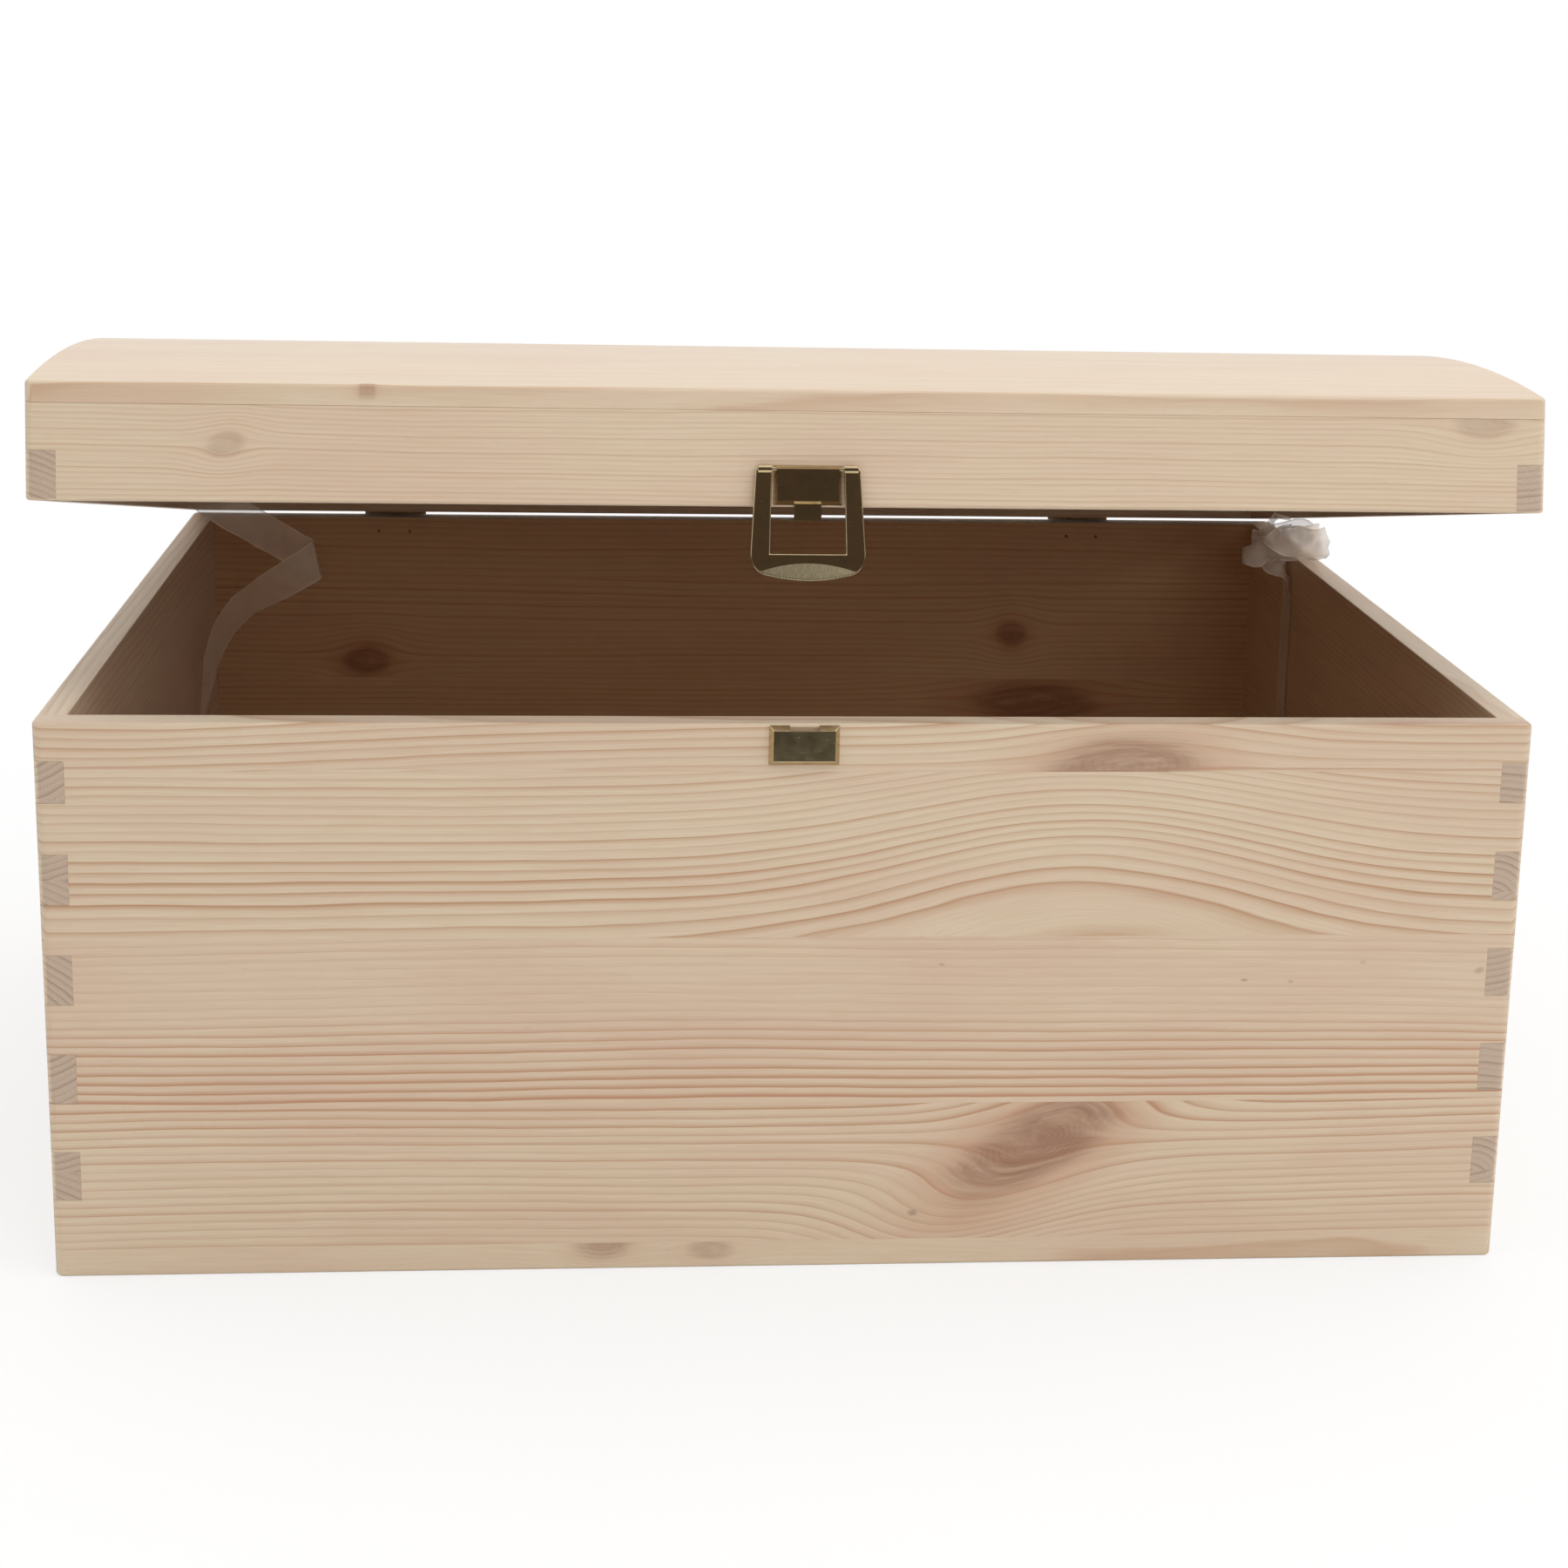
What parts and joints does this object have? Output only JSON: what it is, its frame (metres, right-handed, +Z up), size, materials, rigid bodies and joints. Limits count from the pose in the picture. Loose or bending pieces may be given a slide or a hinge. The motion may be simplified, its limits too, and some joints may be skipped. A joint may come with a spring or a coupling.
{
  "type": "toy box",
  "caption": "Finger-jointed wooden toy chest with a domed hinged lid, a swinging loop clasp and ribbon lid stays, shown ajar.",
  "frame": {"origin": "centre of the flat underside of the box, on the surface it stands on", "axes": "+Z up, the front with the clasp faces -Y, +X to the right seen from the front; the lid stands open by its rest angle of 10.2 degrees"},
  "size_m": [0.403, 0.3288, 0.2444],
  "materials": {
    "pine": "bare sanded pine",
    "plywood": "bare birch plywood",
    "brass_plate": "brass-plated, polished",
    "steel_tack": "dull zinc",
    "ribbon": "sheer woven ribbon"
  },
  "bodies": {
    "box": {"front_panel": "pine", "back_panel": "pine", "left_panel": "pine", "right_panel": "pine", "bottom_panel": "plywood", "catch_plate": "brass_plate", "ribbon_left": "ribbon", "ribbon_right": "ribbon", "hinge_left_box_leaf": "brass_plate", "hinge_left_pin": "brass_plate", "hinge_left_box_nails": "brass_plate", "hinge_right_box_leaf": "brass_plate", "hinge_right_pin": "brass_plate", "hinge_right_box_nails": "brass_plate", "ribbon_left_box_tack": "steel_tack", "ribbon_right_box_tack": "steel_tack"},
    "lid": {"lid_front_rail": "pine", "lid_back_rail": "pine", "lid_left_end": "pine", "lid_right_end": "pine", "lid_stave_1": "pine", "lid_stave_2": "pine", "lid_stave_3": "pine", "lid_stave_4": "pine", "lid_stave_5": "pine", "hinge_left_lid_leaf": "brass_plate", "hinge_left_lid_nails": "brass_plate", "hinge_right_lid_leaf": "brass_plate", "hinge_right_lid_nails": "brass_plate", "clasp_plate": "brass_plate", "clasp_pin": "brass_plate", "ribbon_left_lid_tack": "steel_tack", "ribbon_right_lid_tack": "steel_tack"},
    "loop": {"clasp_loop": "brass_plate"}
  },
  "joints": [
    {"name": "lid_hinge", "type": "hinge", "parent": "box", "child": "lid", "pos_m": [0, 0.1615, 0.1557], "axis": [-1, 0, 0], "range_deg": [-10.2, 84.8], "deforming": ["ribbon_left", "ribbon_right"]},
    {"name": "clasp_swing", "type": "hinge", "parent": "lid", "child": "loop", "pos_m": [0.0013, -0.15438, 0.2227], "axis": [-1, 0, 0], "range_deg": [-4, 165]}
  ]
}
